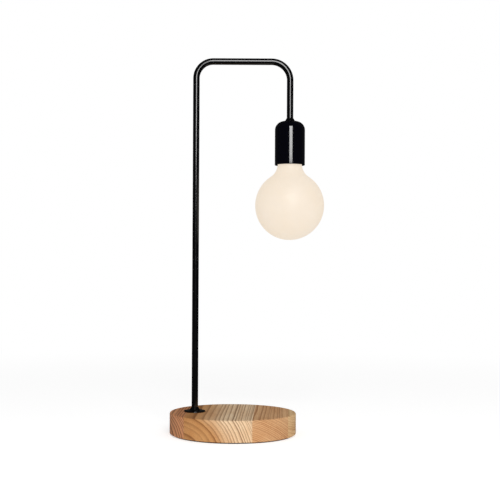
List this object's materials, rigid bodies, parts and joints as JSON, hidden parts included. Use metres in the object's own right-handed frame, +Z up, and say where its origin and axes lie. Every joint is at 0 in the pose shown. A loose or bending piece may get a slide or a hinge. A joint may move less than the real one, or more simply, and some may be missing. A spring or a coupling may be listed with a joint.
{
  "type": "table lamp",
  "caption": "Bare bulb table lamp: round wooden base, bent black tube and a black metal cup over a screw lampholder with an opal globe bulb.",
  "frame": {"origin": "centre of the base's underside, on the table", "axes": "+Z up; +X from the foot of the tube along the arm to the bulb; +Y to the back, where the cord inlet is"},
  "size_m": [0.2115, 0.1745, 0.5188],
  "materials": {
    "wood_main": "clear lacquered pine, satin",
    "wood_red": "clear lacquered pine, darker and redder, satin",
    "wood_pink": "clear lacquered pine, pinkish, satin",
    "wood_pale": "clear lacquered pine, pale yellow, satin",
    "pad": "black foam sheet, matt",
    "iron": "oiled, dark",
    "zinc_steel": "zinc plated",
    "black_plastic": "moulded, satin",
    "white_plastic": "moulded, satin",
    "black_paint": "black powder coat, satin",
    "black_gloss": "black lacquer, glossy",
    "brown_insulation": "extruded, satin",
    "blue_insulation": "extruded, satin",
    "ceramic": "glazed white ceramic",
    "brass": "pressed, bright",
    "opal_glass": "opal, warm white, smooth",
    "cap_metal": "nickel plated, bright",
    "black_glass": "black glass, glossy",
    "tin": "solder, dull bright",
    "clear_glass": "clear",
    "filament": "yellow phosphor coat, matt",
    "board": "green circuit board with dark parts"
  },
  "bodies": {
    "lamp": {"base_plank_left": "wood_red", "base_plank_main": "wood_main", "base_plank_middle": "wood_pink", "base_plank_right": "wood_pale", "base_pad": "pad", "ballast_plate": "iron", "ballast_screws": "zinc_steel", "cord_inlet_bush": "black_plastic", "terminal_block_body": "white_plastic", "terminal_block_inserts": "brass", "terminal_block_screws": "zinc_steel", "block_fixing_screw": "zinc_steel", "stem_tube": "black_paint", "foot_flange": "black_paint", "foot_nipple": "zinc_steel", "foot_washer": "zinc_steel", "foot_lock_washer": "zinc_steel", "foot_nut": "zinc_steel", "wire_live": "brown_insulation", "wire_neutral": "blue_insulation", "head_nipple": "zinc_steel", "collar_nut": "black_paint", "lamp_cup": "black_gloss", "head_lock_washer": "zinc_steel", "head_nut": "zinc_steel", "holder_bracket": "zinc_steel", "bracket_screws": "zinc_steel", "holder_body": "ceramic", "screw_shell": "brass", "centre_terminal": "brass", "shell_terminal": "brass", "holder_terminal_screws": "zinc_steel"},
    "bulb_tip": {"bulb_contact": "tin"},
    "bulb": {"bulb_glass": "opal_glass", "bulb_cap": "cap_metal", "bulb_insulator": "black_glass", "bulb_mount": "clear_glass", "bulb_filaments": "filament", "bulb_leads": "cap_metal", "bulb_driver": "board"},
    "tongue": {"contact_tongue": "brass"}
  },
  "joints": [
    {"name": "bulb_travel", "type": "slide", "parent": "lamp", "child": "bulb_tip", "axis": [0, 0, -1], "range_m": [0, 0.01815]},
    {"name": "bulb_turn", "type": "hinge", "parent": "bulb_tip", "child": "bulb", "pos_m": [0.077, 0, 0.4033], "axis": [0, 0, -1], "range_deg": [0, 1800]},
    {"name": "tongue_flex", "type": "hinge", "parent": "lamp", "child": "tongue", "pos_m": [0.077, 0.0062, 0.4059], "axis": [-1, 0, 0], "range_deg": [0, 4], "stiffness_Nm_per_rad": 0.5}
  ],
  "couplings": [
    {"joint": "bulb_travel", "follows": "bulb_turn", "m_per_rad": 0.0005775}
  ]
}
